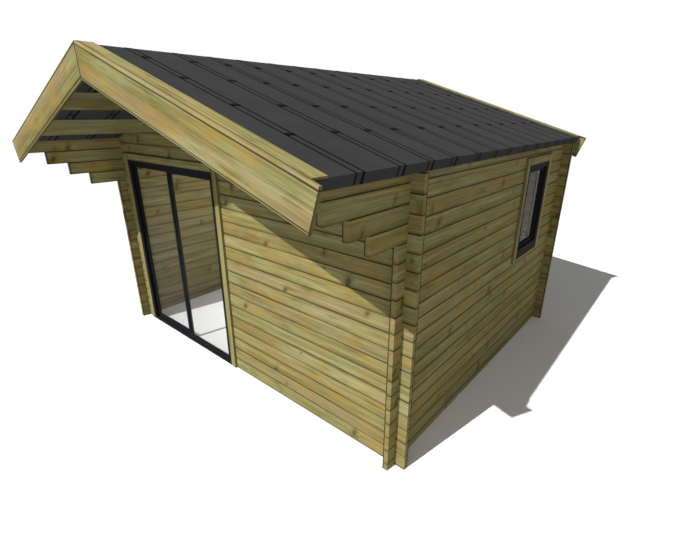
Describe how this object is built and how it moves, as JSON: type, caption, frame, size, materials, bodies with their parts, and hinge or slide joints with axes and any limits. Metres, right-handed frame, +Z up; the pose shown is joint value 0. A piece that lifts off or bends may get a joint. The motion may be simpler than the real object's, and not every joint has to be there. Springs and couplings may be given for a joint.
{
  "type": "garden log cabin",
  "caption": "Gabled garden shed of interlocking logs with a deep front canopy on stepped log ends, a sliding glass door and a side window.",
  "frame": {"origin": "on the ground, under the middle of the roof's outline", "axes": "+Z up, +X to the right along the front wall, +Y from the front wall to the back"},
  "size_m": [4.3436, 4.414, 2.9735],
  "materials": {
    "log_wood": "planed pressure-treated softwood",
    "trim_wood": "planed pressure-treated softwood",
    "roof_sheet": "matt coated sheet",
    "dark_frame": "dark grey powder coat",
    "glass": "clear"
  },
  "bodies": {
    "cabin": {"front_wall_left": "log_wood", "front_wall_right": "log_wood", "front_gable": "log_wood", "back_wall": "log_wood", "back_gable": "log_wood", "left_wall": "log_wood", "left_corbel_1": "log_wood", "left_corbel_2": "log_wood", "left_corbel_3": "log_wood", "left_eave_log": "log_wood", "right_wall": "log_wood", "right_corbel_1": "log_wood", "right_corbel_2": "log_wood", "right_corbel_3": "log_wood", "right_eave_log": "log_wood", "ridge_purlin": "log_wood", "left_upper_purlin": "log_wood", "left_lower_purlin": "log_wood", "right_upper_purlin": "log_wood", "right_lower_purlin": "log_wood", "roof_left": "roof_sheet", "roof_right": "roof_sheet", "front_barge_left": "trim_wood", "front_barge_right": "trim_wood", "back_barge_left": "trim_wood", "back_barge_right": "trim_wood", "front_cap_left": "trim_wood", "front_cap_right": "trim_wood", "back_cap_left": "trim_wood", "back_cap_right": "trim_wood", "door_frame": "dark_frame", "door_sill": "dark_frame", "fixed_sash": "dark_frame", "fixed_glass": "glass", "door_casing_left": "trim_wood", "door_casing_right": "trim_wood", "door_casing_top": "trim_wood", "window_frame": "dark_frame", "window_sash": "dark_frame", "window_glass": "glass", "window_casing": "trim_wood"},
    "sliding_leaf": {"sliding_sash": "dark_frame", "sliding_glass": "glass"}
  },
  "joints": [
    {"name": "patio_door_slide", "type": "slide", "parent": "cabin", "child": "sliding_leaf", "axis": [1, 0, 0], "range_m": [0, 0.804]}
  ]
}
